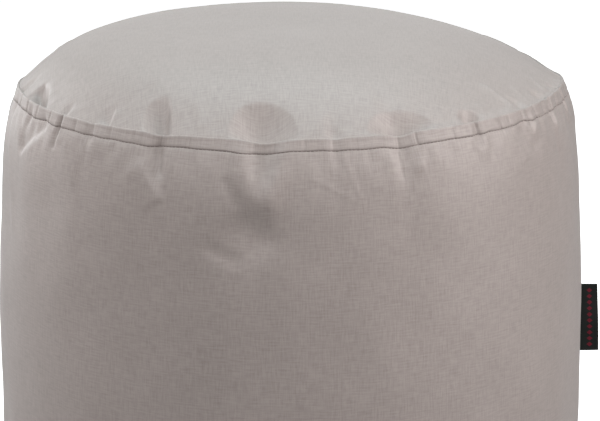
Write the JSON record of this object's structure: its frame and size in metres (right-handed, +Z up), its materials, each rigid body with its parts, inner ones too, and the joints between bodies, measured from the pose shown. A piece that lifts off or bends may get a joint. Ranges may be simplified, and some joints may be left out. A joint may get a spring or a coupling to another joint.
{
  "type": "bean bag footstool",
  "caption": "Filled round footstool of woven cloth: crowned top and flat base sewn to a bulging side wall, topstitched seams, soft gathers and a folded side label.",
  "frame": {"origin": "centre of the flat base, on the floor", "axes": "+Z up; the front faces -Y; the upright seam and its label are at +X"},
  "size_m": [0.516, 0.5, 0.4478],
  "materials": {
    "top_cloth": "plain-woven warm grey polyester canvas, matt with a faint sheen",
    "side_cloth": "plain-woven warm grey polyester canvas, matt with a faint sheen",
    "base_cloth": "plain-woven warm grey polyester canvas, matt",
    "label_tape": "close-woven black tape with a row of small dark red lozenges"
  },
  "bodies": {
    "root": {"top_panel": "top_cloth", "side_panel": "side_cloth", "base_panel": "base_cloth", "side_label": "label_tape"}
  },
  "joints": []
}
